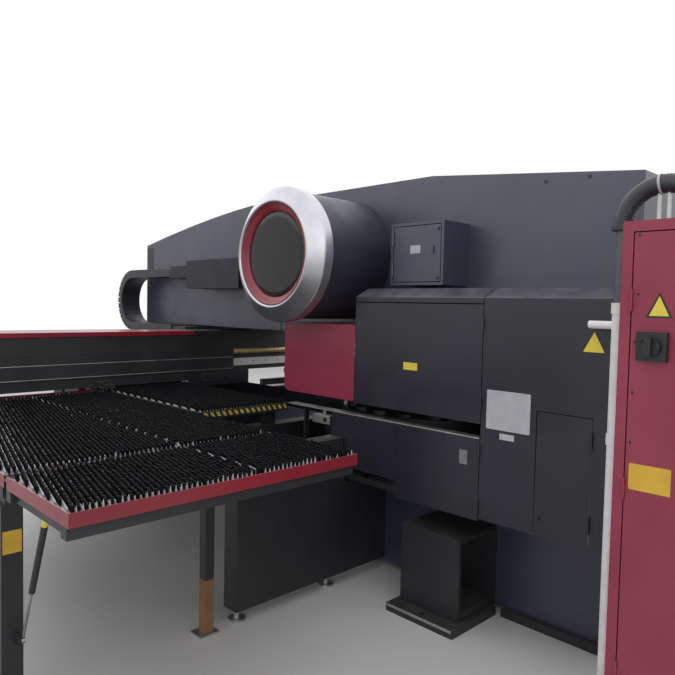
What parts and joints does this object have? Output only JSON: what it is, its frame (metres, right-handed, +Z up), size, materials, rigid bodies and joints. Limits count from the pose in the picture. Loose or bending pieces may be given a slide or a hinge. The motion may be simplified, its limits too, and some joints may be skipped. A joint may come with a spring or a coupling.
{
  "type": "cnc turret punch press",
  "caption": "Turret punch press with a closed frame, drum-shaped servo head, brush tables that travel with the beam, sheet clamps, covers and an electrical cabinet.",
  "frame": {"origin": "on the floor below the punch's axis", "axes": "+Z up, +Y from the operator's end to the electrical cabinet, +X across the machine to the right of an operator who faces +Y"},
  "size_m": [4.81, 5.1759, 2.2],
  "materials": {
    "black_enamel": "satin textured enamel",
    "dark_enamel": "satin enamel",
    "red_enamel": "satin enamel",
    "machined_steel": "ground",
    "satin_silver": "satin",
    "brass_coloured": "rolled",
    "bristle": "nylon bristle",
    "white_pvc": "extruded",
    "black_rubber": "matt"
  },
  "bodies": {
    "root": {"main_frame": "black_enamel", "foot_plates": "dark_enamel", "bearings": "machined_steel", "servo_stator": "brass_coloured", "drum_housing": "black_enamel", "drum_ring": "satin_silver", "drum_face": "red_enamel", "ram_guide": "machined_steel", "die_support": "dark_enamel", "turret_belts": "black_rubber", "turret_motor": "dark_enamel", "red_guard": "red_enamel", "turret_hood": "black_enamel", "rear_cover": "black_enamel", "lower_cover": "black_enamel", "cover_frame": "dark_enamel", "left_covers": "black_enamel", "table_bases": "dark_enamel", "centre_tables": "dark_enamel", "centre_brushes": "bristle", "chain_trough": "black_enamel", "cabinet_shell": "red_enamel", "servo_drives": "dark_enamel", "conduit_pipe": "white_pvc", "hose": "black_rubber", "junction_box": "black_enamel"},
    "beam": {"beam": "dark_enamel", "beam_cover": "red_enamel", "x_rail": "satin_silver", "right_table": "red_enamel", "right_brushes": "bristle", "left_table": "red_enamel", "left_brushes": "bristle"},
    "carriage": {"carriage": "dark_enamel", "clamp_bodies": "machined_steel"},
    "clamp_jaw_1": {"clamp_jaw_1": "satin_silver"},
    "clamp_jaw_2": {"clamp_jaw_2": "satin_silver"},
    "clamp_jaw_3": {"clamp_jaw_3": "satin_silver"},
    "x_screw": {"x_ballscrew": "brass_coloured"},
    "y_screw": {"y_ballscrew": "machined_steel"},
    "y_chain": {"y_chain": "black_rubber"},
    "flap": {"table_flap": "red_enamel", "flap_brushes": "bristle"},
    "strut_rod": {"strut_rod": "satin_silver"},
    "strut_cylinder": {"strut_cylinder": "dark_enamel"},
    "upper_turret": {"upper_turret": "machined_steel", "upper_punches": "satin_silver"},
    "struck_punch": {"struck_punch": "satin_silver"},
    "lower_turret": {"lower_turret": "machined_steel", "dies": "satin_silver"},
    "turret_drive": {"turret_drive_shaft": "machined_steel"},
    "crank": {"crankshaft": "machined_steel"},
    "ram": {"ram": "machined_steel", "connecting_rod": "machined_steel"},
    "turret_door": {"turret_door": "black_enamel"},
    "rear_door": {"rear_door": "black_enamel"},
    "lower_door": {"lower_door": "black_enamel"},
    "junction_door": {"junction_door": "black_enamel"},
    "cabinet_door": {"cabinet_door": "red_enamel"},
    "isolator_knob": {"isolator_knob": "black_enamel"}
  },
  "joints": [
    {"name": "beam_travel", "type": "slide", "parent": "root", "child": "beam", "axis": [0, 1, 0], "range_m": [-0.25, 1]},
    {"name": "carriage_travel", "type": "slide", "parent": "beam", "child": "carriage", "axis": [1, 0, 0], "range_m": [-2.45, 0]},
    {"name": "clamp_1", "type": "hinge", "parent": "carriage", "child": "clamp_jaw_1", "pos_m": [0.504, -1.15, 0.974], "axis": [1, 0, 0], "range_deg": [0, 12]},
    {"name": "clamp_2", "type": "hinge", "parent": "carriage", "child": "clamp_jaw_2", "pos_m": [1.274, -1.15, 0.974], "axis": [1, 0, 0], "range_deg": [0, 12]},
    {"name": "clamp_3", "type": "hinge", "parent": "carriage", "child": "clamp_jaw_3", "pos_m": [2.044, -1.15, 0.974], "axis": [1, 0, 0], "range_deg": [0, 12]},
    {"name": "x_screw_spin", "type": "hinge", "parent": "beam", "child": "x_screw", "pos_m": [0, -1.212, 1.143], "axis": [1, 0, 0], "continuous": true},
    {"name": "y_screw_spin", "type": "hinge", "parent": "root", "child": "y_screw", "pos_m": [1.215, 0, 0.841], "axis": [0, 1, 0], "continuous": true},
    {"name": "chain_travel", "type": "slide", "parent": "root", "child": "y_chain", "axis": [0, 1, 0], "range_m": [-0.125, 0.5]},
    {"name": "flap_lift", "type": "hinge", "parent": "beam", "child": "flap", "pos_m": [1.85, 0.564, 0.922], "axis": [1, 0, 0], "range_deg": [0, 60]},
    {"name": "strut_swing", "type": "hinge", "parent": "beam", "child": "strut_rod", "pos_m": [2.315, 0.462, 0.313], "axis": [1, 0, 0], "range_deg": [-1, 6]},
    {"name": "strut_extend", "type": "slide", "parent": "strut_rod", "child": "strut_cylinder", "axis": [0, 0.4079, 0.913], "range_m": [-0.002, 0.154]},
    {"name": "upper_turret_index", "type": "hinge", "parent": "root", "child": "upper_turret", "pos_m": [0, 0.5, 1.05], "axis": [0, 0, 1], "continuous": true},
    {"name": "lower_turret_index", "type": "hinge", "parent": "root", "child": "lower_turret", "pos_m": [0, 0.5, 0.86], "axis": [0, 0, 1], "continuous": true},
    {"name": "turret_drive_spin", "type": "hinge", "parent": "root", "child": "turret_drive", "pos_m": [0, 1.098, 1], "axis": [0, 0, 1], "continuous": true},
    {"name": "crank_turn", "type": "hinge", "parent": "root", "child": "crank", "pos_m": [0, 0, 1.773], "axis": [1, 0, 0], "continuous": true},
    {"name": "ram_stroke", "type": "slide", "parent": "root", "child": "ram", "axis": [0, 0, 1], "range_m": [-0.03, 0]},
    {"name": "punch_stroke", "type": "slide", "parent": "upper_turret", "child": "struck_punch", "axis": [0, 0, 1], "range_m": [-0.03, 0]},
    {"name": "turret_door_swing", "type": "hinge", "parent": "root", "child": "turret_door", "pos_m": [0.6553, 1.208, 1.256], "axis": [0, 0, 1], "range_deg": [0, 100]},
    {"name": "rear_door_swing", "type": "hinge", "parent": "root", "child": "rear_door", "pos_m": [0.6553, 1.711, 0.836], "axis": [0, 0, 1], "range_deg": [0, 100]},
    {"name": "lower_door_swing", "type": "hinge", "parent": "root", "child": "lower_door", "pos_m": [0.6553, 1.208, 0.741], "axis": [0, 0, 1], "range_deg": [0, 100]},
    {"name": "junction_door_swing", "type": "hinge", "parent": "root", "child": "junction_door", "pos_m": [0.5173, 0.56, 1.77], "axis": [0, 0, 1], "range_deg": [-100, 0]},
    {"name": "cabinet_door_swing", "type": "hinge", "parent": "root", "child": "cabinet_door", "pos_m": [0.8653, 1.919, 0.9], "axis": [0, 0, 1], "range_deg": [-100, 0]},
    {"name": "isolator_turn", "type": "hinge", "parent": "cabinet_door", "child": "isolator_knob", "pos_m": [0.89, 1.996, 1.388], "axis": [1, 0, 0], "range_deg": [-90, 0]}
  ],
  "couplings": [
    {"joint": "x_screw_spin", "follows": "carriage_travel", "rad_per_m": 157.08},
    {"joint": "y_screw_spin", "follows": "beam_travel", "rad_per_m": 251.33},
    {"joint": "chain_travel", "follows": "beam_travel", "ratio": 0.5},
    {"joint": "strut_swing", "follows": "flap_lift", "ratio": 0.06718},
    {"joint": "strut_extend", "follows": "flap_lift", "m_per_rad": 0.14511},
    {"joint": "lower_turret_index", "follows": "upper_turret_index", "ratio": 1},
    {"joint": "turret_drive_spin", "follows": "upper_turret_index", "ratio": 5.5556},
    {"joint": "punch_stroke", "follows": "ram_stroke", "ratio": 1}
  ]
}
